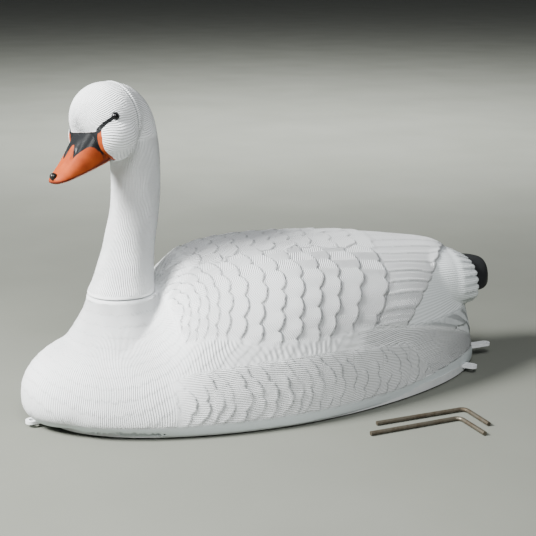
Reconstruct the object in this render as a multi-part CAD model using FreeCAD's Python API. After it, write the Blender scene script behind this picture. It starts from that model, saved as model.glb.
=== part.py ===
"""Full-size swan decoy: a two-piece hollow body, a plug-in neck that turns and lifts out,
a head glued into the top of the neck, moulded lugs round the hull and two loose steel ground pegs.

Row frame: millimetres, +Z up, the swan faces -Y and its left side is +X.
The origin lies on the floor under the middle of the hull."""

import FreeCAD, Part
import math
import os

Vec = FreeCAD.Vector

# ---- driving dimensions, mm ----
WALL = 3.0  # wall of every hollow moulding
HULL_FRONT, HULL_REAR = -400.0, 391.0  # ends of the body's bottom rim
BREAST_Y, STERN_Y = -439.0, 394.0  # foremost and rearmost points of the body
RIM_Z = 5.0  # height of the shell's bottom edge
RIM_HALF, BODY_HALF = 178.0, 181.0
WIDEST_Y = -32.0
FRONT_POWER, REAR_POWER = 1.96, 1.6  # fullness of the plan outline ahead of and behind its widest point

NECK_Y, SEAM_Z = -273.0, 203.0  # axis of the neck joint, and height of its seam
SEAM_R = 54.0
SOCKET_BORE_R, SOCKET_WALL, SOCKET_DEPTH = 41.0, 3.0, 50.0
SPIGOT_R, SPIGOT_LENGTH = 40.6, 42.0
O_RING_SECTION_R, O_RING_DROP = 1.5, 26.0

NECK_TURN, HEAD_PITCH, HEAD_ROLL = 25.0, 10.0, 6.0  # degrees: to the left, nose down, left side up
HEAD_AHEAD, HEAD_Z = 20.0, 482.0  # middle of the head, ahead of the neck joint's axis
FACE_R, HOOD_R = 55.0, 57.5  # balls of the face and of the neck's hood round it
CHEEK_R, CHEEK_SIDE, CHEEK_AHEAD, CHEEK_DROP = 40.0, 20.0, 12.0, 24.0
FACE_BACK = 20.0  # how far behind the middle of the head the face meets the hood
EYE_R = 5.6
EYE_AHEAD, EYE_SIDE, EYE_UP = 21.0, 50.0, 8.0

PEG_R, PEG_LONG, PEG_SHORT, PEG_BEND_R = 3.5, 162.0, 72.0, 11.0
LUG_THICK, LUG_HOLE_R = 5.0, 4.5
PAN_TOP = 17.0  # top of the pan's lip inside the shell


# ---- small helpers ----
def smooth(x, points):
    """A smooth curve through (x, value) points that doesn't overshoot them, read at x."""
    xs = [p[0] for p in points]
    ys = [p[1] for p in points]
    if x <= xs[0]:
        return ys[0]
    if x >= xs[-1]:
        return ys[-1]
    n = len(xs)
    steps = [xs[i + 1] - xs[i] for i in range(n - 1)]
    slopes = [(ys[i + 1] - ys[i]) / steps[i] for i in range(n - 1)]
    tangents = [slopes[0]]
    for a, b, ha, hb in zip(slopes, slopes[1:], steps, steps[1:]):
        if a * b <= 0:
            tangents.append(0.0)
        else:
            wa, wb = 2 * hb + ha, hb + 2 * ha
            tangents.append((wa + wb) / (wa / a + wb / b))
    tangents.append(slopes[-1])
    i = max(k for k in range(n - 1) if xs[k] <= x)
    t = (x - xs[i]) / steps[i]
    return (
        ys[i] * (1 + 2 * t) * (1 - t) ** 2
        + tangents[i] * steps[i] * t * (1 - t) ** 2
        + ys[i + 1] * t * t * (3 - 2 * t)
        + tangents[i + 1] * steps[i] * t * t * (t - 1)
    )


def fullness(y, front, rear, widest, front_power=FRONT_POWER, rear_power=REAR_POWER):
    """Share of the greatest half-width that a plan outline has at y."""
    reach, power = (widest - front, front_power) if y < widest else (rear - widest, rear_power)
    u = min(1.0, abs(y - widest) / reach)
    return max(0.0, 1 - u**power) ** (1 / power)


def ring(points):
    """A closed smooth wire through points."""
    curve = Part.BSplineCurve()
    curve.interpolate(Points=points, PeriodicFlag=True)
    return Part.Wire([curve.toShape()])


def oval(y, half, top, middle, bottom, top_power, bottom_power=2.0, count=28):
    """A closed upright section at y: half-width, top, height of the widest point and bottom."""
    points = []
    for k in range(count):
        a = 2 * math.pi * k / count
        c, s = math.cos(a), math.sin(a)
        power, reach = (top_power, top - middle) if s >= 0 else (bottom_power, middle - bottom)
        x = half * math.copysign(abs(c) ** (2 / power), c)
        z = middle + reach * math.copysign(abs(s) ** (2 / power), s)
        points.append(Vec(x, y, z))
    return ring(points)


def level_oval(z, y, half_x, half_y, count=24):
    """A closed level section at height z, centred at y."""
    turn = 2 * math.pi / count
    return ring(
        [Vec(half_x * math.cos(k * turn), y + half_y * math.sin(k * turn), z) for k in range(count)]
    )


def loft(wires):
    return Part.makeLoft(wires, True, False)


def tube(radius, inner, z0, z1, x=0.0, y=0.0):
    outer = Part.makeCylinder(radius, z1 - z0, Vec(x, y, z0))
    return outer.cut(Part.makeCylinder(inner, z1 - z0, Vec(x, y, z0)))


def plate(points, z0, z1):
    """A flat plate with a smooth closed outline."""
    face = Part.Face(ring([Vec(x, y, z0) for x, y in points]))
    return face.extrude(Vec(0, 0, z1 - z0))


def turned(shape):
    """A piece of the neck, drawn facing -Y, turned to where it rests."""
    placed = shape.copy()
    placed.rotate(Vec(0, NECK_Y, 0), Vec(0, 0, 1), NECK_TURN)
    return placed


def on_head(shape):
    """A piece of the head, drawn facing -Y round the middle of the head, set on the neck."""
    placed = shape.copy()
    placed.rotate(Vec(0, 0, 0), Vec(0, 1, 0), -HEAD_ROLL)
    placed.rotate(Vec(0, 0, 0), Vec(1, 0, 0), HEAD_PITCH)
    placed.translate(Vec(0, NECK_Y - HEAD_AHEAD, HEAD_Z))
    return turned(placed)


# ---- body ----
# Height of the back along the body, without the neck's stump and the tail.
BACK_LINE = [
    (-439, 62), (-433, 80), (-418, 101), (-397, 118), (-365, 133), (-320, 148), (-262, 165),
    (-222, 192), (-205, 222), (-188, 243), (-163, 259), (-125, 269), (-60, 274), (40, 271),
    (150, 261), (250, 245), (312, 227), (338, 190), (352, 148), (363, 110), (375, 70), (385, 42),
    (394, 22),
]
WIDEST_LINE = [(-439, 50), (-400, 46), (-340, 36), (-200, 30), (200, 28), (340, 26), (394, 14)]
TOP_POWER_LINE = [(-439, 2.0), (-200, 2.0), (-60, 2.15), (200, 2.1), (330, 2.0), (394, 2.0)]
KEEL_LINE = [(-439, 42), (-437, 31), (-431, 21), (-420, 12), (-400, RIM_Z), (400, RIM_Z)]
# Where the body slopes steeply, an inset section takes its shape from this many insets along it.
INSET_SHIFT = [(-400, -1), (-300, 0), (-245, 0), (-222, -0.85), (-195, -0.8), (-160, 0), (200, 0), (300, 1)]
SECTION_POINTS = 17
BODY_STATIONS = [
    -438.6, -437, -433, -425, -411, -391, -366, -338, -305, -270, -235, -205, -175, -140,
    -95, -40, 25, 90, 150, 205, 255, 292, 318, 337, 352, 365, 376, 385, 391.5,
]


def body_section(station, inset=0.0):
    """The section at a station; where the body slopes, an inset one is taken from lower down."""
    y = station + inset * smooth(station, INSET_SHIFT)
    half = BODY_HALF * fullness(y, BREAST_Y, STERN_Y, WIDEST_Y) - inset
    rim = RIM_HALF * fullness(y, HULL_FRONT, HULL_REAR, WIDEST_Y) - inset
    rim = min(max(rim, 0.35 * half), 0.995 * half)
    middle = smooth(y, WIDEST_LINE)
    top = smooth(y, BACK_LINE) - inset
    bottom = smooth(y, KEEL_LINE) + inset * smooth(station, [(-412, 1), (-396, -1)])
    depth = (middle - bottom) / math.sqrt(1 - (rim / half) ** 2)
    power = smooth(y, TOP_POWER_LINE)
    points = []
    for share in (1.0, 0.72, 0.38):
        fall = share * (middle - bottom)
        points.append(Vec(half * math.sqrt(1 - (fall / depth) ** 2), station, middle - fall))
    for k in range(SECTION_POINTS):
        a = math.pi * k / (SECTION_POINTS - 1)
        x = half * math.copysign(abs(math.cos(a)) ** (2 / power), math.cos(a))
        points.append(Vec(x, station, middle + (top - middle) * abs(math.sin(a)) ** (2 / power)))
    points.extend(Vec(-p.x, p.y, p.z) for p in reversed(points[:3]))
    curve = Part.BSplineCurve()
    curve.interpolate(points)
    base = Part.LineSegment(points[-1], points[0]).toShape()
    return Part.Wire([curve.toShape(), base])


# (height, centre y, half-width, half-length) of the neck's stump
STUMP = [
    (SEAM_Z, NECK_Y, SEAM_R, SEAM_R), (192, -273, 55.5, 55.5), (176, -274, 60, 61),
    (156, -277, 69, 70), (132, -281, 82, 83), (104, -289, 102, 104), (74, -292, 116, 116),
]
# (y, half-width, top, widest height, bottom) of the tail
TAIL = [
    (255, 73, 232, 165, 95), (285, 74.5, 229, 160, 98), (312, 74.5, 222, 157, 104),
    (338, 71, 211, 153, 112), (361, 66, 201, 150, 118),
]


def body_volume(inset=0.0):
    """The body's outer form, or its hollow when inset by the wall."""
    low = BREAST_Y + 2 * inset + 0.4
    high = STERN_Y - 3 * inset - 1.0
    stations = [y for y in BODY_STATIONS if low <= y <= high]
    trunk = loft([body_section(y, inset) for y in stations])
    stump = loft(
        [level_oval(z, y, rx - inset, ry - inset) for z, y, rx, ry in reversed(STUMP)]
    )
    tail = loft(
        [
            oval(y - inset, w - inset, top - inset, mid, low_z + inset, 2.5, 2.0)
            for y, w, top, mid, low_z in TAIL
        ]
    )
    return trunk.fuse(stump).fuse(tail)


def socket_solid():
    """A flanged bush that lines the opening in the top of the stump."""
    outer = SOCKET_BORE_R + SOCKET_WALL
    barrel = tube(outer, SOCKET_BORE_R, SEAM_Z - SOCKET_DEPTH, SEAM_Z - 1.0, 0, NECK_Y)
    flange = tube(SEAM_R - 1.2, SOCKET_BORE_R, SEAM_Z - 5.0, SEAM_Z - 1.0, 0, NECK_Y)
    return barrel.fuse(flange).removeSplitter()


def body_shell(solid_body, fan):
    opening = Part.makeCylinder(SEAM_R - 1.2, 20, Vec(0, NECK_Y, SEAM_Z - 5.0))
    pan_room = plate(rim_outline(3.3), 0, PAN_TOP + 0.3)
    return solid_body.cut(body_volume(WALL)).cut(pan_room).cut(opening).cut(fan)


def rim_outline(inset, count=44):
    """Points of the hull's bottom rim, moved in by inset."""
    front, rear = HULL_FRONT + inset, HULL_REAR - 1.6 * inset
    points = []
    for k in range(count):
        a = 2 * math.pi * k / count
        c, s = math.cos(a), math.sin(a)
        reach, power = (
            (rear - WIDEST_Y, REAR_POWER + 0.12) if s >= 0 else (WIDEST_Y - front, FRONT_POWER)
        )
        x = (RIM_HALF - inset) * math.copysign(abs(c) ** (2 / power), c)
        points.append((x, WIDEST_Y + reach * math.copysign(abs(s) ** (2 / power), s)))
    return points


def hull_pan():
    """The bottom moulding: a recessed flat floor, a shoulder and a lip inside the shell's edge."""
    floor = plate(rim_outline(15), 0, 3)
    shoulder = plate(rim_outline(3.6), 3, 6).cut(plate(rim_outline(18), 2.9, 6.1))
    lip = plate(rim_outline(3.6), 5.5, PAN_TOP).cut(plate(rim_outline(6.6), 5.4, PAN_TOP + 0.1))
    return floor.fuse(shoulder).fuse(lip).removeSplitter()


# (y, half-width, crown height, depth) of the black tail
FAN = [
    (330, 59, 204, 50), (361, 61, 198, 50), (380, 57.5, 196.5, 46), (391, 50.5, 195, 38),
    (398, 40, 193.5, 26), (402, 24, 192.5, 11),
]
FAN_THICK = 4.0


def tail_fan():
    """The black tail: an arched plate of feathers that sticks out from under the white tail."""
    sections = []
    for y, half, crown, depth in FAN:
        outer = arch_points(y, half, crown, depth)
        inner = arch_points(y, half - FAN_THICK, crown - FAN_THICK, max(3.0, depth - FAN_THICK))
        sections.append(closed_between(outer, list(reversed(inner))))
    return loft(sections)


def arch_points(y, half, crown, depth, power=2.4, count=17):
    points = []
    for k in range(count):
        a = math.pi * k / (count - 1)
        c, s = math.cos(a), math.sin(a)
        x = half * math.copysign(abs(c) ** (2 / power), c)
        points.append(Vec(x, y, crown - depth + depth * abs(s) ** (2 / power)))
    return points


def closed_between(first, second):
    """A closed wire of two smooth curves, end to end, with straight joins."""
    curves = []
    for points in (first, second):
        curve = Part.BSplineCurve()
        curve.interpolate(points)
        curves.append(curve.toShape())
    return Part.Wire(
        [
            curves[0],
            Part.LineSegment(first[-1], second[0]).toShape(),
            curves[1],
            Part.LineSegment(second[-1], first[0]).toShape(),
        ]
    )


# ---- lugs ----
def lug(length, half):
    """A flat tongue from x 0 along +X with a round end and a hole near it."""
    body = Part.makeBox(length - half, 2 * half, LUG_THICK, Vec(0, -half, 0))
    tongue = body.fuse(Part.makeCylinder(half, LUG_THICK, Vec(length - half, 0, 0)))
    hole = Part.makeCylinder(LUG_HOLE_R, 3 * LUG_THICK, Vec(length - half, 0, -LUG_THICK))
    return tongue.cut(hole).removeSplitter()


# name: (root x, root y, underside z, heading in degrees from +X, length, half-width)
LUGS = {
    "lug_front": (0.0, -392.0, 6.0, -90.0, 44.0, 10.0),
    "lug_tail": (0.0, 380.0, 19.0, 90.0, 56.0, 9.0),
    "lug_left": (58.0, 334.0, 10.0, 40.0, 32.0, 9.0),
    "lug_right": (-58.0, 334.0, 10.0, 140.0, 32.0, 9.0),
}


def placed_lug(name):
    x, y, z, heading, length, half = LUGS[name]
    shape = lug(length, half)
    shape.rotate(Vec(0, 0, 0), Vec(0, 0, 1), heading)
    shape.translate(Vec(x, y, z))
    return shape


# ---- neck ----
# (height, distance behind the joint's axis, half-width, half-depth)
NECK = [
    (SEAM_Z + 0.4, 0, 54, 54), (211, 2, 52, 52.5), (224, 6, 48.5, 49), (246, 11.5, 44.5, 46),
    (272, 18.5, 40.5, 42.5), (300, 26, 39, 41.5), (330, 34, 38, 40), (360, 38, 38, 40),
    (392, 39, 38.5, 40), (420, 37, 39.5, 41), (446, 32, 41, 42.5), (470, 25, 42, 44),
    (492, 17, 41, 43), (510, 9, 36, 38), (524, 2, 27, 29), (532, -3, 15, 17),
]


def neck_column(inset=0.0):
    return loft(
        [
            level_oval(z - inset * (z > 480), NECK_Y + back, rx - inset, ry - inset)
            for z, back, rx, ry in NECK
        ]
    )


def face_volume(inset=0.0):
    """The face, in the head's own frame: a round head over fuller cheeks."""
    cheeks = [
        Part.makeSphere(CHEEK_R - inset, Vec(side * CHEEK_SIDE, -CHEEK_AHEAD, -CHEEK_DROP))
        for side in (1, -1)
    ]
    return Part.makeSphere(FACE_R - inset).fuse(cheeks[0]).fuse(cheeks[1])


def face_block(y_back):
    """Everything ahead of y_back, in the head's own frame."""
    return Part.makeBox(200, 200, 200, Vec(-100, y_back - 200, -100))


def neck_shell():
    hood = Part.makeSphere(HOOD_R).cut(face_block(FACE_BACK))
    hood_hollow = Part.makeSphere(HOOD_R - WALL).cut(face_block(FACE_BACK))
    face = face_volume().common(face_block(FACE_BACK))
    outer = turned(neck_column()).fuse(on_head(hood))
    bore = Part.makeCylinder(SEAM_R - WALL - 2.5, 7, Vec(0, NECK_Y, SEAM_Z - 2))
    return (
        outer.cut(turned(neck_column(WALL))).cut(on_head(hood_hollow)).cut(on_head(face)).cut(bore)
    )


def neck_spigot():
    """The neck's plug: a flange glued inside the neck and a grooved tube below the seam."""
    flange = tube(SEAM_R - WALL - 2.5, SPIGOT_R - 4, SEAM_Z, SEAM_Z + 3, 0, NECK_Y)
    barrel = tube(SPIGOT_R, SPIGOT_R - 4, SEAM_Z - SPIGOT_LENGTH, SEAM_Z, 0, NECK_Y)
    groove_z = SEAM_Z - O_RING_DROP
    groove = tube(SPIGOT_R + 1, SPIGOT_R - 2.8, groove_z - 1.9, groove_z + 1.9, 0, NECK_Y)
    return barrel.fuse(flange).cut(groove).removeSplitter()


def neck_o_ring():
    major = SPIGOT_R - 2.75 + O_RING_SECTION_R
    return Part.makeTorus(major, O_RING_SECTION_R, Vec(0, NECK_Y, SEAM_Z - O_RING_DROP))


# ---- head, in its own frame: the origin in its middle, facing -Y ----
# (distance ahead, half-width, crown, mouth, squareness) of the upper bill
BILL = [
    (28, 31, 10, -53, 3.4), (40, 32.5, 2.5, -54.5, 3.3), (52, 32, -7, -56.2, 3.0),
    (64, 30, -16.5, -58, 2.7), (78, 27.5, -27.5, -60, 2.5), (92, 25, -38, -61.5, 2.4),
    (105, 22.5, -46.5, -62.8, 2.3), (114, 19.5, -51.5, -63.2, 2.3),
    (120, 15.5, -54.8, -63.3, 2.2), (124, 9.5, -57.5, -63.3, 2.2),
]
JAW_DROP, MOUTH_GAP = 6.5, 0.8
NAIL_R = 6.2
# The mask ends on a plane that leans back from the ridge of the bill towards the gape.
MASK_TOP_AHEAD, MASK_LEAN = 66.0, 32.0


def bill_upper_volume():
    sections = []
    for ahead, half, crown, mouth, power in BILL:
        points = arch_points(-ahead, half, crown, crown - mouth, power)
        arch = Part.BSplineCurve()
        arch.interpolate(points)
        floor = Part.LineSegment(points[-1], points[0]).toShape()
        sections.append(Part.Wire([arch.toShape(), floor]))
    return loft(sections)


def behind_mask_edge():
    block = Part.makeBox(160, 160, 200, Vec(-80, 0, -100))
    block.rotate(Vec(0, 0, 0), Vec(1, 0, 0), MASK_LEAN)
    block.translate(Vec(0, -MASK_TOP_AHEAD, -18))
    return block


def bill_lower():
    sections = []
    first, last = BILL[0][0], BILL[-1][0]
    for ahead, half, _, mouth, _ in BILL[:-1]:
        share = (ahead - first) / (last - first)
        top = mouth - MOUTH_GAP
        drop = JAW_DROP * (1 - 0.6 * share)
        points = []
        for k in range(9):
            a = math.pi * k / 8
            points.append(Vec((half - 2) * math.cos(a), -ahead, top - drop * math.sin(a)))
        arch = Part.BSplineCurve()
        arch.interpolate(points)
        lid = Part.LineSegment(points[-1], points[0]).toShape()
        sections.append(Part.Wire([arch.toShape(), lid]))
    return loft(sections)


def bill_nail():
    """The hard bead on the tip of the upper bill."""
    return Part.makeSphere(NAIL_R, Vec(0, -119.5, -57))


def eye(side):
    """A bead on a short post, set into the cheek; side is 1 for the left."""
    direction = Vec(side * EYE_SIDE, -EYE_AHEAD, EYE_UP).normalize()
    bead = Part.makeSphere(EYE_R, direction * (FACE_R - 2.4))
    post = Part.makeCylinder(2.0, 9.0, direction * (FACE_R - 15), direction)
    return bead.fuse(post).removeSplitter()


def head_shell(pieces):
    shell = face_volume().common(face_block(FACE_BACK)).cut(face_volume(WALL))
    for piece in pieces:
        shell = shell.cut(piece)
    return shell


def head_joint_ring():
    """The ring inside the seam of the face; it is glued to the face and to the hood."""
    outer = 46.2
    start = Vec(0, FACE_BACK - 8, 0)
    band = Part.makeCylinder(outer, 16, start, Vec(0, 1, 0))
    return band.cut(Part.makeCylinder(outer - 3, 16, start, Vec(0, 1, 0)))


# ---- loose pieces ----
# name: (x and y of the bend, heading of the long leg in degrees from +X)
PEGS = {"ground_peg_near": (256.0, 206.0, -90.5), "ground_peg_far": (226.0, 235.0, -91.5)}


def ground_peg(name):
    """A round steel rod bent to an L, lying flat."""
    x, y, heading = PEGS[name]
    corner = Vec(0, 0, PEG_R)
    long_end = Vec(PEG_LONG, 0, PEG_R)
    short_end = Vec(0, PEG_SHORT, PEG_R)
    a = Vec(PEG_BEND_R, 0, PEG_R)
    b = Vec(0, PEG_BEND_R, PEG_R)
    middle = corner + Vec(1, 1, 0) * (PEG_BEND_R * (1 - math.sqrt(0.5)))
    path = Part.Wire(
        [
            Part.LineSegment(long_end, a).toShape(),
            Part.Arc(a, middle, b).toShape(),
            Part.LineSegment(b, short_end).toShape(),
        ]
    )
    profile = Part.Wire([Part.makeCircle(PEG_R, long_end, Vec(1, 0, 0))])
    rod = path.makePipeShell([profile], True, False)
    rod.rotate(Vec(0, 0, 0), Vec(0, 0, 1), heading)
    rod.translate(Vec(x, y, 0))
    return rod


def drain_plug():
    """A headed rubber plug that closes the pan's drain hole from inside."""
    stem = Part.makeCylinder(7.0, 3.0, Vec(0, 250, 0.6))
    head = Part.makeCylinder(11.0, 3.0, Vec(0, 250, 3.0))
    return stem.fuse(head).removeSplitter()


def main():
    os.makedirs("parts", exist_ok=True)
    fan = tail_fan()
    solid_body = body_volume()
    lugs = {name: placed_lug(name).cut(solid_body) for name in LUGS}
    plug = drain_plug()
    socket = socket_solid()
    shell = body_shell(solid_body, fan).cut(socket)
    pan = hull_pan().cut(plug)
    for piece in lugs.values():
        pan = pan.cut(piece)
    nail = bill_nail()
    lower = bill_lower()
    whole_bill = bill_upper_volume().cut(nail)
    mask = whole_bill.common(behind_mask_edge())
    upper = whole_bill.cut(behind_mask_edge())
    eyes = {"eye_left": eye(1), "eye_right": eye(-1)}
    face = head_shell([whole_bill, lower, *eyes.values()])
    nodes = {
        "body_shell": shell,
        "hull_pan": pan,
        "neck_socket": socket,
        "tail_fan": fan,
        "drain_plug": plug,
        "neck_o_ring": neck_o_ring(),
        "neck_shell": neck_shell(),
        "neck_spigot": neck_spigot(),
        "head_joint_ring": on_head(head_joint_ring()),
        "head_shell": on_head(face),
        "bill_mask": on_head(mask),
        "bill_upper": on_head(upper),
        "bill_lower": on_head(lower),
        "bill_nail": on_head(nail),
    }
    nodes.update(lugs)
    nodes.update({name: on_head(shape) for name, shape in eyes.items()})
    nodes.update({name: ground_peg(name) for name in PEGS})
    for name, shape in nodes.items():
        shape.exportStep(f"parts/{name}.step")
        print(f"{name}: {len(shape.Solids)} solid, {shape.Volume / 1000:.1f} cm3, valid {shape.isValid()}")


main()
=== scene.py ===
"""The looks of a full-size swan decoy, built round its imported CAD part.

Sizes are in millimetres unless a name ends in _m; Blender itself works in metres.
The swan faces -Y and its left side is +X. The origin lies on the floor under the hull.
"""

import math

import bmesh
import bpy
import numpy as np
from mathutils import Matrix, Vector
from mathutils.bvhtree import BVHTree

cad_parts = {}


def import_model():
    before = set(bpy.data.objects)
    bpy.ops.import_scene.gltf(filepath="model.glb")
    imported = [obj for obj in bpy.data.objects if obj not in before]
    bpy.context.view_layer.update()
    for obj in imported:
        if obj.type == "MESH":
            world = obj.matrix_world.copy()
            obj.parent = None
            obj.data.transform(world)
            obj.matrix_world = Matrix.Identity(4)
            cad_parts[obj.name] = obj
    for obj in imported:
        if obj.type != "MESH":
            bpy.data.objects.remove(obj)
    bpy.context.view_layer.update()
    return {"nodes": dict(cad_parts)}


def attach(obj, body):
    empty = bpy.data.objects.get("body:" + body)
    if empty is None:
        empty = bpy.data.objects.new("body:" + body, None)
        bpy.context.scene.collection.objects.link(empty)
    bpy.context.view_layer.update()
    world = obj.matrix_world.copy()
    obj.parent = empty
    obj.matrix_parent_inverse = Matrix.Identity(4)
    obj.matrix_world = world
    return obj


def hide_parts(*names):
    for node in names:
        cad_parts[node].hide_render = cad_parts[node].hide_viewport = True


MM = 0.001

# ---- places shared with the CAD part ----
NECK_Y, SEAM_Z, SEAM_R = -273.0, 203.0, 54.0
SOCKET_R = 52.8
RIM_Z = 5.0
TAIL_END_Y = 361.0
NECK_TURN, HEAD_PITCH, HEAD_ROLL = 25.0, 10.0, 6.0
HEAD_AHEAD, HEAD_Z = 20.0, 482.0
FACE_R, FACE_BACK = 55.0, 20.0
CHEEK_R, CHEEK_SIDE, CHEEK_AHEAD, CHEEK_DROP = 40.0, 20.0, 12.0, 24.0
# (distance ahead, half-width, crown, mouth, squareness) of the upper bill
BILL = [
    (28, 31, 10, -53, 3.4), (40, 32.5, 2.5, -54.5, 3.3), (52, 32, -7, -56.2, 3.0),
    (64, 30, -16.5, -58, 2.7), (78, 27.5, -27.5, -60, 2.5), (92, 25, -38, -61.5, 2.4),
    (105, 22.5, -46.5, -62.8, 2.3), (114, 19.5, -51.5, -63.2, 2.3),
    (120, 15.5, -54.8, -63.3, 2.2), (124, 9.5, -57.5, -63.3, 2.2),
]

# The nail stands this much proud of its CAD place, in the head's own frame.
NAIL_R, NAIL_SHIFT = 5.8, (0.0, -1.5, 2.2)

# ---- mesh fineness ----
BODY_VOXEL, HEAD_VOXEL = 2.4, 1.5
THICKER_WALL = 3.0
JUST_OFF = 0.3
# A point inside the hollow sees the shell in each of these directions.
INWARD_TESTS = [Vector(way) for way in ((1, 0, 0), (-1, 0, 0), (0, 1, 0), (0, -1, 0))]

# Copies of the pan and a cone under the collar back the thin wall, so the remesh leaves no hole.
PAN_LIFTS, PAN_SPREAD = (3, 6, 9), 0.992
COLLAR_BACKING, COLLAR_FLARE, COLLAR_DEPTH = 0.5, 13.5, 63.0

# ---- feathers of the folded wing: where each row ends, along the back ----
COVERT_EDGES = [-213, -202, -190, -177, -163, -147, -127, -101, -71, -38, -5, 31, 65, 109, 160]
COVERT_WIDTH_DEG, COVERT_SCALLOP, COVERT_LIFT = 8.5, 7.0, 2.5
PRIMARY_LINES_DEG = [37, 44.2, 52, 57.2, 62.2, 67.1, 71.4, 75.5, 80, 85]
PRIMARY_LIFT, WING_END_LIFT = 1.4, 3.0
SCAPULAR_EDGES = [-150, -118, -88, -56, -22, 12, 48, 86, 126, 168]
FLANK_EDGES = [
    -232, -208, -187, -167, -149, -122, -101, -79, -54, -36, -18, 4, 24, 44, 66, 90, 114, 138,
    160, 182, 204, 226, 250,
]
FLANK_LIFT, BREAST_LIFT = 2.0, 0.7


# ---- small helpers ----
def ramp(x, low, high):
    """0 below low, 1 above high, smooth between."""
    t = np.clip((x - low) / (high - low), 0, 1)
    return t * t * (3 - 2 * t)


def wobble(a, b=0.0, seed=0.0):
    """A soft irregular wave between -1 and 1."""
    first = np.sin(0.9 * a + 1.7 * b + seed)
    second = np.sin(2.3 * a - 1.1 * b + 2.1 * seed + 1.0)
    third = np.sin(-1.6 * a + 2.9 * b + 0.7 * seed + 2.0)
    return (first + 0.6 * second + 0.5 * third) / 2.1


def head_matrix():
    """The head's own frame, facing -Y with its origin in the middle of the head, in the row frame."""
    roll = Matrix.Rotation(math.radians(-HEAD_ROLL), 4, "Y")
    pitch = Matrix.Rotation(math.radians(HEAD_PITCH), 4, "X")
    place = Matrix.Translation((0, -HEAD_AHEAD, HEAD_Z))
    turn = Matrix.Rotation(math.radians(NECK_TURN), 4, "Z")
    axis = Matrix.Translation((0, NECK_Y, 0))
    return axis @ turn @ place @ pitch @ roll


HEAD = np.array(head_matrix())
HEAD_BACK = np.linalg.inv(HEAD)


def to_head(points):
    """Points of the row frame in the head's own frame."""
    return points @ HEAD_BACK[:3, :3].T + HEAD_BACK[:3, 3]


def from_head(points):
    return points @ HEAD[:3, :3].T + HEAD[:3, 3]


# ---- surfaces held as arrays ----
class Skin:
    """A quad mesh as arrays, in millimetres, so that its relief is worked out in one go."""

    def __init__(self, points, quads):
        self.points = points
        self.quads = quads

    def edges(self):
        q = self.quads
        pairs = np.concatenate([q[:, [0, 1]], q[:, [1, 2]], q[:, [2, 3]], q[:, [3, 0]]])
        return np.unique(np.sort(pairs, axis=1), axis=0)

    def border_edges(self):
        """The edges that only one quad has."""
        q = self.quads
        pairs = np.concatenate([q[:, [0, 1]], q[:, [1, 2]], q[:, [2, 3]], q[:, [3, 0]]])
        _, first, counts = np.unique(
            np.sort(pairs, axis=1), axis=0, return_index=True, return_counts=True
        )
        return pairs[first[counts == 1]]

    def normals(self):
        p, q = self.points, self.quads
        face = np.cross(p[q[:, 2]] - p[q[:, 0]], p[q[:, 3]] - p[q[:, 1]])
        total = np.zeros_like(p)
        for axis in range(3):
            for corner in range(4):
                total[:, axis] += np.bincount(q[:, corner], face[:, axis], len(p))
        return total / np.maximum(np.linalg.norm(total, axis=1, keepdims=True), 1e-9)

    def smooth(self, rounds, strength=0.5):
        """Relaxes the surface; strength is a number or one number for each point."""
        strength = np.reshape(strength, (-1, 1))
        edges = self.edges()
        a, b = edges[:, 0], edges[:, 1]
        count = len(self.points)
        degree = np.maximum(np.bincount(a, minlength=count) + np.bincount(b, minlength=count), 1)
        for _ in range(rounds):
            mean = np.empty_like(self.points)
            for axis in range(3):
                v = self.points[:, axis]
                mean[:, axis] = (np.bincount(a, v[b], count) + np.bincount(b, v[a], count)) / degree
            self.points += strength * (mean - self.points)

    def outermost(self):
        """Drops every loose part but the one that reaches furthest out."""
        edges = self.edges()
        labels = np.arange(len(self.points))
        while True:
            low = np.minimum(labels[edges[:, 0]], labels[edges[:, 1]])
            new = labels.copy()
            np.minimum.at(new, edges[:, 0], low)
            np.minimum.at(new, edges[:, 1], low)
            new = new[new]
            if (new == labels).all():
                break
            labels = new
        keep = labels == labels[np.argmax(self.points[:, 2])]
        return self.where(keep[self.quads].all(axis=1))

    def where(self, quad_mask):
        """The part of the surface made of the quads that the mask keeps."""
        quads = self.quads[quad_mask]
        used = np.unique(quads)
        index = np.full(len(self.points), -1)
        index[used] = np.arange(len(used))
        return Skin(self.points[used], index[quads])

    def centres(self):
        return self.points[self.quads].mean(axis=1)

    def add_lip(self, moved):
        """Joins the border to copies of its points, moved by a function, for a visible edge."""
        border = self.border_edges()
        ids = np.unique(border)
        copies = moved(self.points[ids])
        index = np.full(len(self.points), -1)
        index[ids] = len(self.points) + np.arange(len(ids))
        strip = np.stack([border[:, 1], border[:, 0], index[border[:, 0]], index[border[:, 1]]], 1)
        self.points = np.concatenate([self.points, copies])
        self.quads = np.concatenate([self.quads, strip])

    def to_object(self, name, marks=None):
        mesh = bpy.data.meshes.new(name)
        mesh.from_pydata((self.points * MM).tolist(), [], self.quads.tolist())
        mesh.polygons.foreach_set("use_smooth", np.ones(len(self.quads), bool))
        for mark, values in (marks or {}).items():
            attribute = mesh.attributes.new(mark, "FLOAT", "POINT")
            padded = np.zeros(len(self.points), np.float32)
            padded[: len(values)] = values
            attribute.data.foreach_set("value", padded)
        mesh.update()
        obj = bpy.data.objects.new(name, mesh)
        bpy.context.scene.collection.objects.link(obj)
        return obj


def mesh_of(build):
    """A mesh made by a bmesh function, sized in millimetres."""
    bm = bmesh.new()
    build(bm)
    bmesh.ops.scale(bm, vec=(MM, MM, MM), verts=bm.verts)
    mesh = bpy.data.meshes.new("part")
    bm.to_mesh(mesh)
    bm.free()
    return mesh


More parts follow.
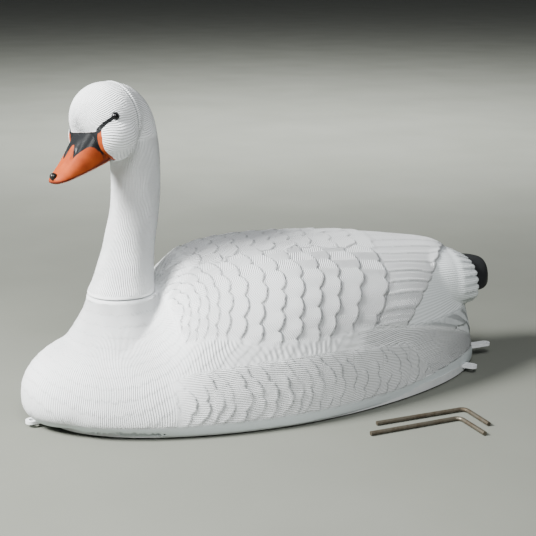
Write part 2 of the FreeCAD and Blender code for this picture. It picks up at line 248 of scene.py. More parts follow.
def neck_plug(radius, low, high, foot_radius=None):
    """A closed drum or cone on the neck's axis, narrower than the skin that it backs."""

    def build(bm):
        bmesh.ops.create_cone(
            bm, cap_ends=True, segments=96, radius1=foot_radius or radius, radius2=radius,
            depth=high - low, matrix=Matrix.Translation((0, NECK_Y, (low + high) / 2)),
        )

    return mesh_of(build)


def raised(mesh, lift, spread):
    """A copy of a mesh moved up and drawn in towards the middle."""
    copy = mesh.copy()
    copy.transform(Matrix.Translation((0, 0, lift * MM)) @ Matrix.Diagonal((spread, spread, 1, 1)))
    return copy


def head_ball(radius, side=0.0, ahead=0.0, up=0.0):
    centre = from_head(np.array([[side, -ahead, up]]))[0]

    def build(bm):
        bmesh.ops.create_icosphere(
            bm, subdivisions=5, radius=radius, matrix=Matrix.Translation(centre.tolist())
        )

    return mesh_of(build)


def read_points(mesh, kind="co"):
    """The places or the normals of a mesh's points, as an array."""
    flat = np.zeros(len(mesh.vertices) * 3)
    source = mesh.vertices if kind == "co" else mesh.vertex_normals
    source.foreach_get("co" if kind == "co" else "vector", flat)
    return flat.reshape(-1, 3)


def thickened(mesh, extra):
    """A copy of a hollow shell's mesh with its inner wall moved inwards, so no voxel misses it."""
    points, normals = read_points(mesh), read_points(mesh, "normal")
    tree = BVHTree.FromPolygons(points.tolist(), [tuple(p.vertices) for p in mesh.polygons])
    moved = points.copy()
    for k, start in enumerate(points + normals * JUST_OFF * MM):
        if all(tree.ray_cast(start.tolist(), way)[0] is not None for way in INWARD_TESTS):
            moved[k] += normals[k] * extra * MM
    copy = mesh.copy()
    copy.vertices.foreach_set("co", moved.ravel())
    return copy


def remeshed(meshes, voxel):
    """The outermost surface of overlapping closed meshes, as one even quad mesh."""
    bm = bmesh.new()
    for mesh in meshes:
        bm.from_mesh(mesh)
    joined = bpy.data.meshes.new("joined")
    bm.to_mesh(joined)
    bm.free()
    obj = bpy.data.objects.new("joined", joined)
    bpy.context.scene.collection.objects.link(obj)
    modifier = obj.modifiers.new("remesh", "REMESH")
    modifier.mode = "VOXEL"
    modifier.voxel_size = voxel * MM
    graph = bpy.context.evaluated_depsgraph_get()
    mesh = bpy.data.meshes.new_from_object(obj.evaluated_get(graph))
    points = read_points(mesh)
    corners = np.zeros(len(mesh.loops), int)
    mesh.loops.foreach_get("vertex_index", corners)
    bpy.data.objects.remove(obj)
    bpy.data.meshes.remove(mesh)
    return Skin(points / MM, corners.reshape(-1, 4)).outermost()


# ---- feather patterns ----
def shingles(along, across, edges, scallop, lift, pitch, half_width, fan=1.0):
    """Rows of overlapping feathers. along rises towards the tail and row k ends at edges[k];
    across counts feathers. Returns the height, the painted shade of the crease just behind each edge
    and the barbs' phase."""
    height = np.zeros_like(along)
    crease_shade = np.zeros_like(along)
    barb = np.zeros_like(along)
    free = np.ones(len(along), bool)
    last_tip = np.full(len(along), -1e6)
    last_edge = edges[0] - (edges[1] - edges[0])
    for k, edge in enumerate(edges):
        cell = across + 0.5 * (k % 2) + 0.12 * wobble(float(k), 0.0, 3.0)
        number = np.floor(cell)
        u = 2 * (cell - number) - 1
        length = edge - last_edge
        jitter = 0.10 * length * wobble(2.1 * number, 3.3 * k, 1.0)
        tip = edge + jitter - scallop * np.minimum(1.0, length / 26) * np.abs(u) ** 2.4
        mine = free & (along <= tip)
        back = np.clip((tip - along) / length, 0, 1)
        crown = 1 - 0.35 * np.abs(u) ** 3
        full = lift * min(1.0, 0.25 + length / 34)
        height[mine] = (full * (1 - back) ** 1.3 * crown)[mine]
        # Painted shade: the colour is darkened in the crease just behind the row in front.
        crease_shade[mine] = np.exp(-(((along - last_tip) / 2.2) ** 2))[mine]
        barb[mine] = ((along - fan * np.abs(u) * half_width) / pitch)[mine]
        free &= ~mine
        last_tip, last_edge = tip, edge
    return height, crease_shade, barb


class Relief:
    """Collects zones of relief over a surface; a later zone covers an earlier one."""

    def __init__(self, count):
        self.height = np.zeros(count)
        self.crease_shade = np.zeros(count)
        self.barb = np.zeros(count)
        self.depth = np.zeros(count)

    def lay(self, cover, height, crease_shade, barb, depth):
        self.height = self.height * (1 - cover) + height * cover
        self.crease_shade = self.crease_shade * (1 - cover) + crease_shade * cover
        seam = np.exp(-(((cover - 0.5) / 0.2) ** 2))
        self.depth = (self.depth * (1 - cover) + depth * cover) * (1 - 0.95 * seam)
        self.barb = np.where(cover > 0.5, barb, self.barb)


def wing_row(y, phi):
    """The place of a point among the wing's rows: rows bow towards the tail at their middle."""
    sag = 34 + 0.22 * np.maximum(0, y + 20)
    below = np.maximum(0, 61 - phi) / 30
    above = np.maximum(0, phi - 61) / 12
    return y + sag * below**1.25 + 14 * above**2


def body_relief(points):
    """Feathers of the body, wings, flanks, breast and tail."""
    x, y, z = points.T
    side = np.abs(x)
    phi = np.degrees(np.arctan2(z - 30, side))
    mirror = np.where(x < 0, 7.0, 0.0)
    from_neck = np.hypot(x, y - NECK_Y)
    round_neck = np.arctan2(x, -(y - NECK_Y))
    relief = Relief(len(points))

    # breast and shoulders: small rounded feathers in rings round the neck
    ring = from_neck + 0.55 * np.maximum(0, SEAM_Z - z)
    edges = np.arange(70.0, 420.0, 17.0)
    h, g, _ = shingles(ring, round_neck * 9 + 0.1 * mirror, edges, 5.0, BREAST_LIFT, 3.6, 9.0)
    barb = (round_neck * 150 + 5.0 * wobble(ring / 26, round_neck * 3.1)) / 3.5
    relief.lay(np.ones(len(points)), h, 0.35 * g, barb, 0.5)

    # streaks of the side, behind and under the wing
    height_mm = 3.7 * phi
    wave = height_mm - 0.16 * y + 5 * wobble(y / 34, height_mm / 40, 1.0)
    streak = np.sin(2 * np.pi * wave / 9.5)
    cover = ramp(y, 40, 110) * ramp(phi + 30 * ramp(y, 150, 230), 12, 22)
    # Painted shade darkens the troughs of the streaks.
    relief.lay(cover, 0.5 * streak, 0.3 * ramp(-streak, 0.5, 1.0), wave / 3.4, 0.9)

    # flank feathers: tall C-shaped edges
    row = y + 15 * ((phi - 9) / 12) ** 2 + 3 * wobble(phi / 9, y / 90, mirror)
    across = (phi + 3) / 13 + 0.15 * wobble(y / 60, phi / 30)
    h, g, _ = shingles(row, across, FLANK_EDGES, 7.0, FLANK_LIFT, 3.6, 10.0)
    patch = ramp(wobble(y / 21, phi / 6.5, 2.0 + mirror), -0.75, 0.1)
    barb = (height_mm * (1 + 0.0012 * (y % 60)) + 2.2 * wobble(y / 18, phi / 7)) / 3.5
    top_line = 27 - 30 * ramp(y, 175, 262)
    cover = ramp(y, -262, -205) * ramp(-y, -268, -225) * ramp(top_line - phi, -2, 4)
    relief.lay(cover, h * (0.3 + 0.7 * patch), g * patch, barb, 0.7 * ramp(y, -260, -150))

    # coverts of the folded wing
    row = wing_row(y, phi)
    across = phi / COVERT_WIDTH_DEG + 0.04 * mirror
    h, g, b = shingles(
        row, across, COVERT_EDGES + [400], COVERT_SCALLOP, COVERT_LIFT, 3.7, 15.0
    )
    low_line = 32 + 9 * ramp(-y, 60, 190) + 3 * ramp(y, 20, 90)
    soft = 0.45 + 0.55 * ramp(row, -190, -110)
    cover = ramp(phi - low_line, -4, 5) * ramp(y, -225, -205)
    relief.lay(cover, h * soft, g * soft, b, 0.5 + 0.45 * ramp(row, -60, 40))

    # long feathers of the wing, fanned towards the tail
    fanned = phi - 0.037 * (y - 150) + 0.5 * wobble(y / 40, phi / 8)
    long_h = np.zeros(len(points))
    long_g = np.zeros(len(points))
    tip = np.zeros(len(points))
    for low, high in zip(PRIMARY_LINES_DEG, PRIMARY_LINES_DEG[1:]):
        inside = (fanned >= low) & (fanned < high)
        share = np.clip((fanned - low) / (high - low), 0, 1)
        long_h[inside] = (PRIMARY_LIFT * (1 - share) ** 1.4)[inside]
        long_g[inside] = 0.55 * np.exp(-(((1 - share) * (high - low) / 0.55) ** 2))[inside]
        tip[inside] = (5 * (2 * np.abs(share - 0.5)) ** 2.2)[inside]
    wing_end = 301 - 2.8 * (80 - phi) - tip
    behind_coverts = ramp(row, COVERT_EDGES[-1] + 1, COVERT_EDGES[-1] + 3.5)
    wing_under = ramp(phi, 34, 39)
    to_end = 1 - ramp(y - wing_end, -0.6, 1.2)
    cover = behind_coverts * wing_under
    end_lift = WING_END_LIFT * ramp(y - wing_end, -95, 0) * to_end
    across = (3.7 * fanned) % 18
    relief.lay(
        cover * to_end, long_h + end_lift, long_g, (y - 1.1 * np.abs(across - 9)) / 3.9, 0.85
    )

    # smooth valley behind the wing, then the tail's coverts
    # Painted shade: the colour darkens in the valley just behind the wing's end.
    wing_end_shade = np.exp(-((np.maximum(0, y - wing_end) / 2.5) ** 2))
    tail_line = np.degrees(np.arctan2(z - 150, side)) / 11
    tail_share = tail_line - np.floor(tail_line)
    tail_h = 1.5 * (1 - tail_share) ** 1.2 * ramp(y, 318, 340) + 2.0 * ramp(y, 312, 330)
    tail_g = np.exp(-(((1 - tail_share) * 3.4) ** 2)) * ramp(y, 318, 335)
    relief.lay(
        cover * (1 - to_end) * ramp(z, 112, 128),
        tail_h,
        np.maximum(0.8 * tail_g, wing_end_shade),
        tail_line * 4,
        0.25,
    )

    # scapulars over the ridge of the back
    across = (x + 4 * wobble(y / 30)) / 30
    row = y + 0.10 * side + 3 * wobble(x / 25, y / 60)
    h, g, b = shingles(row, across, SCAPULAR_EDGES, 9.0, 2.2, 4.0, 14.0)
    reach = 74 + 1.6 * wobble(y / 14, 0.0, mirror)
    cover = ramp(phi, reach, reach + 1.2) * ramp(y, -190, -160) * ramp(-y, -168, -150)
    relief.lay(cover, h + 1.2, g, b, 0.7)

    # the smooth band above the rim, greyed as painted shade and darkened as painted shade at its top,
    # and the plain collar under the neck's seam
    band_top = 23 + 12 * ramp(y, 120, 360)
    band = 1 - ramp(z, band_top - 2, band_top + 2)
    relief.lay(band, 0.0, 0.35 * ramp(z, band_top - 5, band_top), 0.0, 0.0)
    collar = ramp(z, SEAM_Z - 7, SEAM_Z - 3) * (from_neck < SEAM_R + 6)
    relief.lay(collar, 0.0, 0.0, 0.0, 0.0)
    # Painted shade: the band above the rim and the valley just behind the wing's end are greyed in
    # colour.
    painted_shade = np.maximum(0.9 * band, 0.5 * ramp(y - wing_end, 0, 6) * ramp(phi, 34, 39))
    return relief, painted_shade


def swan_body(nodes):
    """The body's outer skin with its feathers."""
    closed = [thickened(nodes["body_shell"].data, THICKER_WALL)]
    closed += [nodes[n].data for n in ("hull_pan", "drain_plug", "neck_socket", "tail_fan")]
    closed += [raised(nodes["hull_pan"].data, lift, PAN_SPREAD) for lift in PAN_LIFTS]
    closed.append(neck_plug(SEAM_R - 5, SEAM_Z - 60, SEAM_Z - 1))
    closed.append(
        neck_plug(
            SEAM_R - COLLAR_BACKING, SEAM_Z - COLLAR_DEPTH, SEAM_Z - 7, SEAM_R + COLLAR_FLARE
        )
    )
    skin = remeshed(closed, BODY_VOXEL)
    skin.smooth(3)
    p = skin.points
    p[:, 2] = np.maximum(p[:, 2], RIM_Z + 0.4)
    on_tail = p[:, 2] > 125
    p[on_tail, 1] = np.minimum(p[on_tail, 1], TAIL_END_Y)

    centres = skin.centres()
    in_mouth = (np.hypot(centres[:, 0], centres[:, 1] - NECK_Y) < SOCKET_R - 1) & (
        centres[:, 2] > SEAM_Z - 12
    )
    skin = skin.where(~in_mouth)
    relief, painted_shade = body_relief(skin.points)
    flat_under = skin.points[:, 2] < RIM_Z + 1.5
    height = np.where(flat_under, 0.0, relief.height)
    skin.points += skin.normals() * height[:, None]
    scalloped_tail(skin.points)
    rim = np.unique(skin.border_edges())
    skin.points[rim] = on_circle(skin.points[rim], SEAM_R - 0.9, SEAM_Z - 1.0)
    skin.add_lip(lambda q: on_circle(q, SOCKET_R + 0.1, SEAM_Z - 5.0))
    marks = {
        "crease_shade": relief.crease_shade, "barb": relief.barb, "barb_depth": relief.depth, "painted_shade": painted_shade,
    }
    body = skin.to_object("swan_body", marks)
    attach(body, "body")
    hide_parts("body_shell")
    return body


def on_circle(points, radius, z):
    """Points moved to a level circle round the neck's joint."""
    out = points - np.array([0, NECK_Y, 0])
    out[:, :2] *= radius / np.maximum(np.hypot(out[:, 0], out[:, 1]), 1e-6)[:, None]
    out[:, 1] += NECK_Y
    out[:, 2] = z
    return out


def scalloped_tail(points):
    """Cuts the end of the white tail into rounded feather tips."""
    x, y, z = points.T
    line = np.degrees(np.arctan2(z - 150, np.abs(x))) / 11
    notch = (2 * np.abs(line - np.floor(line) - 0.5)) ** 2.0
    near = ramp(y, TAIL_END_Y - 14, TAIL_END_Y) * ramp(z, 140, 155)
    points[:, 1] -= 5.0 * notch * near


# ---- neck and head ----
# How far the neck's centre line lies behind its joint, at each height.
NECK_LINE_Z = [203, 246, 300, 350, 400, 446, 500]
NECK_LINE_BACK = [0, 11, 26, 38, 39, 32, 14]


def head_relief(points):
    """Barbs and fine scallops of the neck, the hood and the face, and the seam between them."""
    x, y, z = points.T
    local = to_head(points)
    lx, ly, lz = local.T
    relief = Relief(len(points))
    axis_y = NECK_Y + np.interp(z, NECK_LINE_Z, NECK_LINE_BACK)
    centre = turned_xy(np.zeros(len(points)), axis_y)
    angle = np.arctan2(x - centre[0], -(y - centre[1]))
    barb = (angle * 58 + 2.2 * wobble(z / 16, angle * 3)) / 3.6
    rows = np.arange(215.0, 560.0, 13.0)
    h, g, _ = shingles(560 - z, angle * 3.2, rows - 60, 4.5, 0.45, 3.6, 8.0)
    relief.lay(np.ones(len(points)), h, 0.2 * g, barb, 0.7)

    on_head = ramp(lz, -52, -36)
    meridian = np.arctan2(lx, lz)
    ring = np.arctan2(np.hypot(lx, lz), -ly)
    barb = (meridian * 54 + 1.8 * wobble(ring * 6, meridian * 3)) / 3.4
    relief.lay(on_head, 0.12 * wobble(meridian * 26, ring * 5), 0.0, barb, 0.6)

    seam = ramp(lz, -34, -10)
    gap = np.exp(-(((ly - FACE_BACK) / 1.5) ** 2)) * seam
    lip = np.exp(-(((ly - FACE_BACK - 4.0) / 2.6) ** 2)) * seam
    relief.height += 0.5 * lip - 1.6 * gap
    # Painted shade: the seam's sunken gap is also darkened in colour.
    relief.crease_shade = np.maximum(relief.crease_shade, gap)
    collar = 1 - ramp(z, SEAM_Z + 4, SEAM_Z + 8)
    relief.lay(collar, 0.0, 0.0, 0.0, 0.0)
    return relief, local


def turned_xy(x, y):
    """Level places drawn for a neck that faces -Y, turned to where the neck rests."""
    a = math.radians(NECK_TURN)
    dy = y - NECK_Y
    return x * math.cos(a) - dy * math.sin(a), NECK_Y + x * math.sin(a) + dy * math.cos(a)


# ---- paint of the face, as distances in the head's own frame; negative is inside ----
# (side, ahead, up) along the stripe from the mask's corner to the eye, and its half-widths
LORE_LINE = [(33, 45, -7), (36.3, 42.6, -3.2), (41, 36.8, 1.5), (44.7, 31.6, 3.9), (50, 21, 8)]
LORE_HALF = [4.2, 3.4, 3.0, 2.8, 3.4]
EYE_RING = 6.2
# Half-width of the painted bill at each height, and its upper edge at each distance to the side
BILL_UP, BILL_OUTER = [-60, -55, -50, -37, -27, -18, -9], [33, 35, 38, 37.4, 38.4, 39.2, 38]
BILL_SIDE, BILL_TOP = [0, 18, 28, 34, 38], [-7, -8, -8, -5.5, -6]
# The mask's scalloped front edge, and the side edge that leaves an orange strip behind it
MASK_SIDE = [0, 3, 6, 9, 11, 12.7, 17.2, 21.3, 24.2, 28.1, 30.9, 32.3, 33]
MASK_AHEAD = [69.5, 73, 79, 85, 88, 86, 77.7, 69.7, 63.7, 58, 53.7, 48, 40]
STRIP_UP, STRIP_SIDE = [-55, -47, -41, -32, -20, -10], [31.5, 32.3, 32.4, 33, 35.5, 37.8]


def lore_distance(side, ahead, up):
    """Distance outside the black stripe between the eye and the mask, with the ring round the eye."""
    where = np.stack([side, ahead, up], 1)
    line = np.array(LORE_LINE, float)
    best = np.linalg.norm(where - line[-1], axis=1) - EYE_RING
    for k in range(len(line) - 1):
        along = line[k + 1] - line[k]
        t = np.clip((where - line[k]) @ along / (along @ along), 0, 1)
        away = np.linalg.norm(where - line[k] - t[:, None] * along, axis=1)
        best = np.minimum(best, away - (LORE_HALF[k] * (1 - t) + LORE_HALF[k + 1] * t))
    return best


def face_paint(local):
    """Distances outside the painted bill, and outside everything that is black."""
    side, ahead, up = np.abs(local[:, 0]), -local[:, 1], local[:, 2]
    outer = np.interp(up, BILL_UP, BILL_OUTER)
    top = np.interp(side, BILL_SIDE, BILL_TOP)
    bill = np.maximum.reduce([side - outer, up - top, 26 - ahead, -60 - up])
    front = np.interp(side, MASK_SIDE, MASK_AHEAD)
    strip = np.interp(up, STRIP_UP, STRIP_SIDE)
    orange = np.maximum(0.7 * (ahead - front), side - strip)
    black = np.minimum(np.maximum(bill, orange), lore_distance(side, ahead, up))
    return bill, black


def swan_head(nodes):
    """The neck with its hood, and the face: one moulded look with a seam between the two."""
    sources = [nodes["neck_shell"].data, nodes["head_shell"].data]
    sources.append(neck_plug(SEAM_R - 6, SEAM_Z + 1, SEAM_Z + 14))
    sources.append(head_ball(FACE_R - 0.4))
    for side in (1, -1):
        sources.append(head_ball(CHEEK_R - 0.4, side * CHEEK_SIDE, CHEEK_AHEAD, -CHEEK_DROP))
    skin = remeshed(sources, HEAD_VOXEL)
    skin.smooth(10)
    local = to_head(skin.points)
    joins = np.maximum(ramp(local[:, 1], 10, 24), ramp(-local[:, 2], 36, 50))
    skin.smooth(70, 0.5 * joins * ramp(skin.points[:, 2], 300, 400))
    centres = skin.centres()
    under = (np.hypot(centres[:, 0], centres[:, 1] - NECK_Y) < SEAM_R - 2.5) & (
        centres[:, 2] < SEAM_Z + 6
    )
    skin = skin.where(~under)
    relief, local = head_relief(skin.points)
    skin.points += skin.normals() * relief.height[:, None]
    rim = np.unique(skin.border_edges())
    skin.points[rim] = on_circle(skin.points[rim], SEAM_R - 1.2, SEAM_Z + 1.2)
    bill, black = face_paint(local)
    marks = {
        "crease_shade": relief.crease_shade,
        "barb": relief.barb,
        "barb_depth": relief.depth * ramp(bill, 0, 2),
        "painted_shade": np.zeros(len(skin.points)),
        "bill": bill,
        "black": black,
    }
    skin.add_lip(lambda q: on_circle(q, SEAM_R - 5.6, SEAM_Z + 1.6))
    piece = skin.to_object("swan_head_and_neck", marks)
    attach(piece, "neck")
    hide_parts("neck_shell", "head_shell")
    return piece


# ---- bill ----
def swan_bill():
    """The upper bill with its ridge, nostrils and black mask."""
    rows = np.array(BILL)
    stations = np.concatenate([np.linspace(28, 118, 91), np.linspace(118.6, 124, 10)])
    across = 72
    grid = []
    for ahead in stations:
        half, crown, mouth, power = (np.interp(ahead, rows[:, 0], rows[:, k]) for k in (1, 2, 3, 4))
        a = np.linspace(0, np.pi, across)
        c, s = np.cos(a), np.sin(a)
        px = half * np.sign(c) * np.abs(c) ** (2 / power)
        pz = mouth + (crown - mouth) * np.abs(s) ** (2 / power)
        grid.append(np.stack([px, np.full(across, -ahead), pz], 1))
    grid = np.array(grid)
    count, n = len(stations), across
    quads = []
    for i in range(count - 1):
        for j in range(n):
            k = (j + 1) % n
            quads.append((i * n + j, i * n + k, (i + 1) * n + k, (i + 1) * n + j))
    for end in (0, count - 1):
        for j in range(n // 2 - 1):
            quads.append((end * n + j, end * n + j + 1, end * n + n - 2 - j, end * n + n - 1 - j))
    skin = Skin(grid.reshape(-1, 3), np.array(quads))
    lx, ly, lz = skin.points.T
    side, ahead = np.abs(lx), -ly
    ridge = 1.0 * np.exp(-((side / 4.5) ** 2)) * ramp(ahead, 50, 66) * ramp(-ahead, -112, -96)
    valley = -1.2 * np.exp(-(((side - 10) / 4.0) ** 2)) * ramp(ahead, 60, 72) * ramp(-ahead, -108, -90)
    nostril = -2.2 * np.exp(-(((side - 9.5) / 2.2) ** 2) - ((ahead - 82) / 6.5) ** 4)
    upward = ramp(lz, -52, -44)
    skin.points[:, 2] += (ridge + valley + nostril) * upward
    mouth = np.interp(ahead, rows[:, 0], rows[:, 3])
    _, black = face_paint(skin.points)
    marks = {
        "crease_shade": np.zeros(len(lx)),
        "barb": np.zeros(len(lx)),
        "barb_depth": np.zeros(len(lx)),
        "painted_shade": np.zeros(len(lx)),
        "bill": np.full(len(lx), -5.0),
        "black": black,
        # Painted shade: the upper bill's lower edge darkens towards the mouth line, where it meets the
        # lower bill.
        "mouth": 1 - ramp(lz - mouth, 0.8, 2.6),
    }
    skin.points = from_head(skin.points)
    bill = skin.to_object("swan_bill", marks)
    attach(bill, "neck")
    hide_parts("bill_upper", "bill_mask")
    return bill


# ---- materials ----
class Look:
    """A node material with short calls for the nodes this scene needs."""

    def __init__(self, name):
        self.material = bpy.data.materials.new(name)
        self.material.use_nodes = True
        self.tree = self.material.node_tree
        self.shader = self.tree.nodes["Principled BSDF"]
        self.shader.inputs["Specular IOR Level"].default_value = 0.3

    def node(self, kind, **settings):
        made = self.tree.nodes.new(kind)
        for key, value in settings.items():
            setattr(made, key, value)
        return made

    def link(self, source, target):
        self.tree.links.new(source, target)

    def mark(self, name):
        """A value stored on the mesh's points."""
        return self.node("ShaderNodeAttribute", attribute_name=name).outputs["Fac"]

    def maths(self, operation, a, b=0.0):
        made = self.node("ShaderNodeMath", operation=operation)
        for socket, value in zip(made.inputs, (a, b)):
            if isinstance(value, (int, float)):
                socket.default_value = value
            else:
                self.link(value, socket)
        return made.outputs[0]

    def noise(self, scale, detail=4.0, roughness=0.5):
        place = self.node("ShaderNodeTexCoord")
        made = self.node("ShaderNodeTexNoise")
        made.inputs["Scale"].default_value = scale
        made.inputs["Detail"].default_value = detail
        made.inputs["Roughness"].default_value = roughness
        self.link(place.outputs["Object"], made.inputs["Vector"])
        return made.outputs["Fac"]

    def stretch(self, value, low, high, to_low=0.0, to_high=1.0):
        made = self.node("ShaderNodeMapRange")
        made.clamp = True
        for key, number in zip(
            ("From Min", "From Max", "To Min", "To Max"), (low, high, to_low, to_high)
        ):
            made.inputs[key].default_value = number
        self.link(value, made.inputs["Value"])
        return made.outputs["Result"]

    def mix(self, factor, first, second):
        """Colours mixed by a factor; each is a colour or a socket."""
        made = self.node("ShaderNodeMix", data_type="RGBA")
        self.link(factor, made.inputs["Factor"])
        for socket, value in ((made.inputs[6], first), (made.inputs[7], second)):
            if isinstance(value, tuple):
                socket.default_value = (*value, 1.0)
            else:
                self.link(value, socket)
        return made.outputs[2]

    def bump(self, height, distance_mm, strength=1.0, after=None):
        made = self.node("ShaderNodeBump")
        made.inputs["Strength"].default_value = strength
        made.inputs["Distance"].default_value = distance_mm * MM
        self.link(height, made.inputs["Height"])
        if after is not None:
            self.link(after, made.inputs["Normal"])
        return made.outputs["Normal"]

    def finish(self, colour, roughness, normal=None):
        if isinstance(colour, tuple):
            self.shader.inputs["Base Color"].default_value = (*colour, 1.0)
        else:
            self.link(colour, self.shader.inputs["Base Color"])
        if isinstance(roughness, float):
            self.shader.inputs["Roughness"].default_value = roughness
        else:
            self.link(roughness, self.shader.inputs["Roughness"])
        if normal is not None:
            self.link(normal, self.shader.inputs["Normal"])
        return self.material


WHITE = (0.84, 0.86, 0.87)
CREASE_SHADE_GREY = (0.20, 0.22, 0.225)
PAINTED_SHADE_GREY = (0.62, 0.68, 0.69)
BLACK = (0.012, 0.013, 0.014)
ORANGE, ORANGE_DEEP, MOUTH_LINE_SHADE = (0.34, 0.062, 0.012), (0.25, 0.04, 0.009), (0.09, 0.012, 0.008)


def feather_plastic(name, painted=False):
    """Matt white moulded plastic with barbs; creases, barb troughs and the band above the rim are
    darkened in colour as painted shade.
    """
    look = Look(name)
    blotch = look.stretch(look.noise(9.0), 0.35, 0.65)
    colour = look.mix(blotch, tuple(0.965 * c for c in WHITE), WHITE)
    # Painted shade: the band above the rim and the valley behind the wing are greyed.
    colour = look.mix(look.mark("painted_shade"), colour, PAINTED_SHADE_GREY)
    # Painted shade: creases behind feather edges, streak troughs and the seam's gap are darkened
    # towards grey.
    colour = look.mix(look.stretch(look.mark("crease_shade"), 0.1, 1.0, 0.0, 0.8), colour, CREASE_SHADE_GREY)
    wave = look.maths("SINE", look.maths("MULTIPLY", look.mark("barb"), 2 * math.pi))
    barbs = look.maths("MULTIPLY", wave, look.mark("barb_depth"))
    # Painted shade: the troughs of the barb wave are darkened towards half-white, beside the bump that
    # the same wave drives.
    colour = look.mix(
        look.stretch(barbs, -1.0, 0.2, 0.3, 0.0), colour, tuple(0.5 * c for c in WHITE)
    )
    normal = look.bump(barbs, 0.85, 1.0)
    normal = look.bump(look.noise(900.0, 2.0), 0.12, 0.5, normal)
    if painted:
        look.shader.inputs["Specular IOR Level"].default_value = 0.1
        ragged = look.stretch(look.noise(260.0), 0.0, 1.0, -0.5, 0.5)
        mottle = look.stretch(look.noise(55.0, 5.0), 0.35, 0.7)
        orange = look.mix(mottle, ORANGE_DEEP, ORANGE)
        # Painted shade: the orange darkens towards the mouth line where the lower bill meets it.
        orange = look.mix(look.stretch(look.mark("mouth"), 0.0, 1.0, 0.0, 0.9), orange, MOUTH_LINE_SHADE)
        in_bill = look.stretch(look.maths("ADD", look.mark("bill"), ragged), 0.4, -0.4)
        colour = look.mix(in_bill, colour, orange)
        in_black = look.stretch(look.maths("ADD", look.mark("black"), ragged), 0.4, -0.4)
        colour = look.mix(in_black, colour, BLACK)
    roughness = look.stretch(look.noise(60.0), 0.3, 0.7, 0.5, 0.64)
    if painted:
        gloss = look.stretch(in_black, 0.0, 1.0, 1.0, 0.5)
        roughness = look.maths("MULTIPLY", roughness, gloss)
    return look.finish(colour, roughness, normal)


def plain_plastic(name, colour, roughness, grain=700.0, spread=0.9):
    """Moulded plastic with slight mottling and a fine grain."""
    look = Look(name)
    mottle = look.stretch(look.noise(35.0), 0.35, 0.65)
    mixed = look.mix(mottle, tuple(spread * c for c in colour), colour)
    normal = look.bump(look.noise(grain, 2.0), 0.15, 0.5)
    rough = look.stretch(look.noise(120.0), 0.3, 0.7, roughness - 0.06, roughness + 0.06)
    return look.finish(mixed, rough, normal)


def peg_steel():
    """Bare drawn steel rod gone brown, with duller scuffs along it."""
    look = Look("peg_steel")
    look.shader.inputs["Metallic"].default_value = 0.75
    rust = look.stretch(look.noise(70.0, 6.0, 0.6), 0.4, 0.62)
    colour = look.mix(rust, (0.15, 0.135, 0.105), (0.085, 0.068, 0.048))
    normal = look.bump(look.noise(500.0, 3.0), 0.2, 0.5)
    return look.finish(colour, look.stretch(rust, 0.0, 1.0, 0.42, 0.66), normal)


def bill_nail(nodes):
    """The round black nail at the tip of the bill."""
    corners = [nodes["bill_nail"].matrix_world @ Vector(c) for c in nodes["bill_nail"].bound_box]
    centre = sum(corners, Vector()) / 8

    def build(bm):
        bmesh.ops.create_uvsphere(bm, u_segments=48, v_segments=32, radius=NAIL_R)

    obj = bpy.data.objects.new("round_nail", mesh_of(build))
    for polygon in obj.data.polygons:
        polygon.use_smooth = True
    ahead_and_up = HEAD[:3, :3] @ np.array(NAIL_SHIFT) * MM
    obj.location = centre + Vector(ahead_and_up.tolist())
    bpy.context.scene.collection.objects.link(obj)
    obj.data.materials.append(plain_plastic("nail_black", (0.014, 0.012, 0.011), 0.25, 200.0, 0.7))
    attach(obj, "neck")
    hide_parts("bill_nail")


def paint_nodes(nodes):
    """Materials for the CAD nodes that stay."""
    looks = {
        "white": plain_plastic("white_moulding", (0.80, 0.82, 0.83), 0.5),
        "pan": plain_plastic("pan_moulding", (0.74, 0.76, 0.76), 0.55, 400.0),
        "black": plain_plastic("black_moulding", (0.016, 0.017, 0.018), 0.42, 350.0, 0.7),
        "gloss": plain_plastic("eye_gloss", (0.006, 0.006, 0.007), 0.12, 60.0, 0.8),
        "orange": plain_plastic("orange_moulding", (0.40, 0.085, 0.02), 0.42, 420.0, 0.75),
        "rubber": plain_plastic("rubber", (0.02, 0.02, 0.021), 0.7, 500.0, 0.8),
        "steel": peg_steel(),
    }
    chosen = {
        "hull_pan": "pan", "neck_socket": "white", "neck_spigot": "white", "head_joint_ring": "white",
        "tail_fan": "black", "drain_plug": "rubber", "neck_o_ring": "rubber",
        "bill_lower": "orange", "eye_left": "gloss", "eye_right": "gloss",
        "lug_front": "white", "lug_tail": "white", "lug_left": "white", "lug_right": "white",
        "ground_peg_near": "steel", "ground_peg_far": "steel",
    }
    for node, look in chosen.items():
        nodes[node].data.materials.clear()
        nodes[node].data.materials.append(looks[look])
        for polygon in nodes[node].data.polygons:
            polygon.use_smooth = True


# ---- stage ----
CAMERA_AZIMUTH, CAMERA_ELEVATION = 65.72, 14.7  # degrees
CAMERA_DISTANCE_M, LENS_MM, SENSOR_MM = 2.0, 80.2, 36.0
AIM_M = Vector((0.0, -0.0161, 0.2145))
BACKDROP_SIZE_M, BACKDROP_WATTS, BACKDROP_AWAY_M = 2.5, 560.0, 2.6


def back_vector(azimuth, elevation):
    a, e = math.radians(azimuth), math.radians(elevation)
    return Vector((math.sin(a) * math.cos(e), -math.cos(a) * math.cos(e), math.sin(e)))


def camera():
    data = bpy.data.cameras.new("camera")
    data.lens, data.sensor_width = LENS_MM, SENSOR_MM
    data.clip_start, data.clip_end = 0.05, 200
    obj = bpy.data.objects.new("camera", data)
    back = back_vector(CAMERA_AZIMUTH, CAMERA_ELEVATION)
    obj.location = AIM_M + back * CAMERA_DISTANCE_M
    obj.rotation_euler = (-back).to_track_quat("-Z", "Y").to_euler()
    bpy.context.scene.collection.objects.link(obj)
    bpy.context.scene.camera = obj


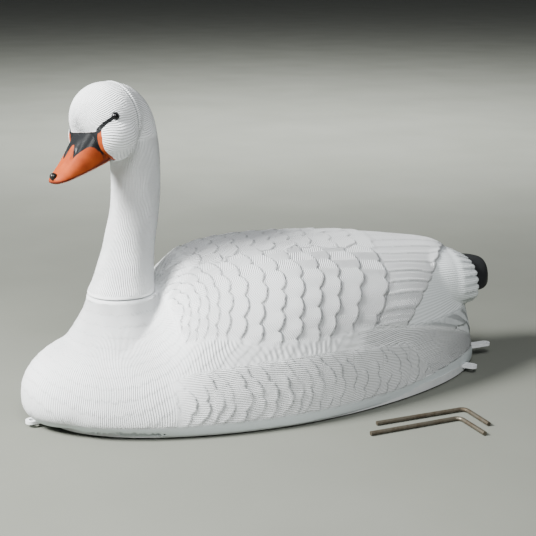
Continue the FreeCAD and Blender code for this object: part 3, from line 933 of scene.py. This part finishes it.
def soft_light(name, azimuth, elevation, distance_m, size_m, watts, colour):
    data = bpy.data.lights.new(name, "AREA")
    data.shape = "DISK"
    data.size, data.energy, data.color = size_m, watts, colour
    obj = bpy.data.objects.new(name, data)
    back = back_vector(azimuth, elevation)
    obj.location = AIM_M + back * distance_m
    obj.rotation_euler = (-back).to_track_quat("-Z", "Y").to_euler()
    bpy.context.scene.collection.objects.link(obj)


def backdrop_light():
    """Lights the floor behind the object, which is what the camera sees as its backdrop."""
    data = bpy.data.lights.new("backdrop", "AREA")
    data.size, data.energy = BACKDROP_SIZE_M, BACKDROP_WATTS
    obj = bpy.data.objects.new("backdrop", data)
    away = back_vector(CAMERA_AZIMUTH + 180, 0)
    obj.location = AIM_M + away * BACKDROP_AWAY_M + Vector((0, 0, BACKDROP_AWAY_M))
    aim = away * 3.2 + Vector((0, 0, -2.2))
    obj.rotation_euler = aim.to_track_quat("-Z", "Y").to_euler()
    bpy.context.scene.collection.objects.link(obj)


def floor():
    bm = bmesh.new()
    bmesh.ops.create_circle(bm, cap_ends=True, segments=96, radius=60.0)
    mesh = bpy.data.meshes.new("floor")
    bm.to_mesh(mesh)
    bm.free()
    obj = bpy.data.objects.new("floor", mesh)
    obj.location.z = -0.0005
    bpy.context.scene.collection.objects.link(obj)
    look = Look("floor_paper")
    mottle = look.stretch(look.noise(3.0, 6.0), 0.3, 0.7)
    colour = look.mix(mottle, (0.150, 0.158, 0.135), (0.168, 0.176, 0.152))
    mesh.materials.append(look.finish(colour, 0.85))


def world():
    made = bpy.data.worlds.new("studio")
    made.use_nodes = True
    background = made.node_tree.nodes["Background"]
    background.inputs["Color"].default_value = (0.93, 0.97, 1.0, 1.0)
    background.inputs["Strength"].default_value = 0.13
    bpy.context.scene.world = made


def main():
    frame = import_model()
    nodes = frame["nodes"]
    body = swan_body(nodes)
    body.data.materials.append(feather_plastic("feather_plastic"))
    head = swan_head(nodes)
    painted = feather_plastic("feather_plastic_painted", painted=True)
    head.data.materials.append(painted)
    swan_bill().data.materials.append(painted)
    bill_nail(nodes)
    paint_nodes(nodes)
    camera()
    floor()
    world()
    soft_light(
        "key", azimuth=2.0, elevation=38.0, distance_m=2.6, size_m=0.8, watts=285.0,
        colour=(1.0, 0.995, 0.98),
    )
    soft_light(
        "front_fill", azimuth=72.0, elevation=44.0, distance_m=3.2, size_m=1.2, watts=85.0,
        colour=(0.98, 0.99, 1.0),
    )
    backdrop_light()


main()
